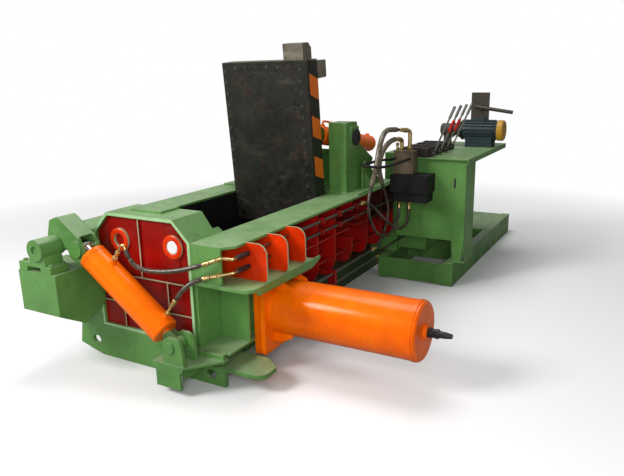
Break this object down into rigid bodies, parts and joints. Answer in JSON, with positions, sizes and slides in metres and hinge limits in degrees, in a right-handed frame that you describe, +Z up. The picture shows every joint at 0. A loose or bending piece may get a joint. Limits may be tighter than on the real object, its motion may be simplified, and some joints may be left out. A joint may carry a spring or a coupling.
{
  "type": "recycling baler",
  "caption": "Hydraulic scrap metal baler with an open trough, hinged compression lid, side ram, turn-out arm and separate power unit.",
  "frame": {"origin": "floor level under the front panel, on the middle of the sill", "axes": "+X to the right seen from the front, +Y away along the trough, +Z up"},
  "size_m": [3.169, 6.235, 2.5794],
  "materials": {
    "green": "gloss",
    "red": "gloss",
    "red_bright": "gloss",
    "orange": "gloss",
    "trough_steel": "worn",
    "lid_steel": "worn",
    "bare_steel": "machined",
    "rod_chrome": "polished",
    "brass": "polished",
    "hose_rubber": "matte",
    "black_paint": "satin",
    "valve_iron": "satin",
    "pipe_steel": "drawn",
    "motor_blue": "satin",
    "ochre": "satin",
    "grey": "satin"
  },
  "bodies": {
    "frame": {"base_frame": "green", "chamber_plates": "trough_steel", "rails": "green", "end_block": "green", "front_panel": "red", "port_rings": "red_bright", "ring_plug": "rod_chrome", "side_ribs": "red", "side_shelves": "green", "pocket_ribs": "red_bright", "side_ram_housing": "green", "side_cylinder_barrel": "orange", "side_cylinder_port": "black_paint", "cylinder_glands": "bare_steel", "rear_bulkhead": "green", "main_cylinder_barrel": "orange", "lid_towers": "green", "bearing_caps": "black_paint", "turnout_support": "green", "pillow_blocks": "green", "cylinder_bracket": "green", "pins_and_bolts": "bare_steel", "pump_skid": "green", "pump_stand": "green", "oil_tank": "green", "electric_motor": "motor_blue", "motor_fan_cover": "ochre", "hydraulic_pump": "grey", "oil_cooler": "grey", "valve_manifold": "valve_iron", "valve_block": "black_paint", "valve_bank": "valve_iron", "pressure_pipes": "pipe_steel", "pipe_clamps": "black_paint", "brass_fittings": "brass", "hose_front_upper": "hose_rubber", "hose_front_lower": "hose_rubber", "hose_valve_outer": "hose_rubber", "hose_valve_inner": "hose_rubber", "hose_side": "hose_rubber"},
    "main_ram": {"main_ram_head": "lid_steel", "main_ram_rod": "rod_chrome"},
    "side_ram": {"side_ram_head": "lid_steel", "side_ram_rod": "rod_chrome"},
    "lid": {"lid_frame": "lid_steel", "lid_wear_plates": "lid_steel", "lid_bolts": "lid_steel", "lid_shaft": "bare_steel"},
    "lid_barrel": {"lid_barrels": "orange"},
    "lid_rod": {"lid_rods": "rod_chrome"},
    "turnout": {"turnout_lever": "green", "turnout_carrier": "trough_steel", "turnout_shaft": "bare_steel"},
    "turnout_cylinder": {"turnout_barrel": "orange", "turnout_fittings": "brass"},
    "turnout_piston": {"turnout_rod": "rod_chrome"},
    "lever_1": {"valve_lever_1": "bare_steel"},
    "lever_2": {"valve_lever_2": "bare_steel"},
    "lever_3": {"valve_lever_3": "bare_steel"},
    "lever_4": {"valve_lever_4": "bare_steel"}
  },
  "joints": [
    {"name": "main_ram_slide", "type": "slide", "parent": "frame", "child": "main_ram", "axis": [0, -1, 0], "range_m": [0, 1.235]},
    {"name": "side_ram_slide", "type": "slide", "parent": "frame", "child": "side_ram", "axis": [-1, 0, 0], "range_m": [0, 0.6]},
    {"name": "lid_hinge", "type": "hinge", "parent": "frame", "child": "lid", "pos_m": [0, 2.0821, 0.8161], "axis": [1, 0, 0], "range_deg": [0, 84.8]},
    {"name": "lid_barrel_pivot", "type": "hinge", "parent": "frame", "child": "lid_barrel", "pos_m": [0, 2.4, 1.66], "axis": [1, 0, 0], "range_deg": [0, 39.21]},
    {"name": "lid_rod_slide", "type": "slide", "parent": "lid_barrel", "child": "lid_rod", "axis": [0, -0.9858, 0.1678], "range_m": [0, 1.1754]},
    {"name": "turnout_hinge", "type": "hinge", "parent": "frame", "child": "turnout", "pos_m": [-0.61, 0, 1.03], "axis": [0, -1, 0], "range_deg": [0, 90]},
    {"name": "turnout_cylinder_pivot", "type": "hinge", "parent": "frame", "child": "turnout_cylinder", "pos_m": [0.49, -0.2, 0.38], "axis": [0, -1, 0], "range_deg": [-4.61, 0], "deforming": ["hose_front_upper", "hose_front_lower"]},
    {"name": "turnout_rod_slide", "type": "slide", "parent": "turnout_cylinder", "child": "turnout_piston", "axis": [-0.8087, 0, 0.5882], "range_m": [0, 0.2975]},
    {"name": "lever_1_pivot", "type": "hinge", "parent": "frame", "child": "lever_1", "pos_m": [1.316, 3.08, 1.445], "axis": [0, 1, 0], "range_deg": [-14, 14], "stiffness_Nm_per_rad": 60},
    {"name": "lever_2_pivot", "type": "hinge", "parent": "frame", "child": "lever_2", "pos_m": [1.316, 3.3, 1.445], "axis": [0, 1, 0], "range_deg": [-14, 14], "stiffness_Nm_per_rad": 60},
    {"name": "lever_3_pivot", "type": "hinge", "parent": "frame", "child": "lever_3", "pos_m": [1.316, 3.52, 1.445], "axis": [0, 1, 0], "range_deg": [-14, 14], "stiffness_Nm_per_rad": 60},
    {"name": "lever_4_pivot", "type": "hinge", "parent": "frame", "child": "lever_4", "pos_m": [1.316, 3.74, 1.445], "axis": [0, 1, 0], "range_deg": [-14, 14], "stiffness_Nm_per_rad": 60}
  ],
  "couplings": [
    {"joint": "lid_barrel_pivot", "follows": "lid_hinge", "ratio": 0.4612},
    {"joint": "lid_rod_slide", "follows": "lid_hinge", "m_per_rad": 0.7928},
    {"joint": "turnout_cylinder_pivot", "follows": "turnout_hinge", "ratio": -0.0501},
    {"joint": "turnout_rod_slide", "follows": "turnout_hinge", "m_per_rad": 0.1881}
  ]
}
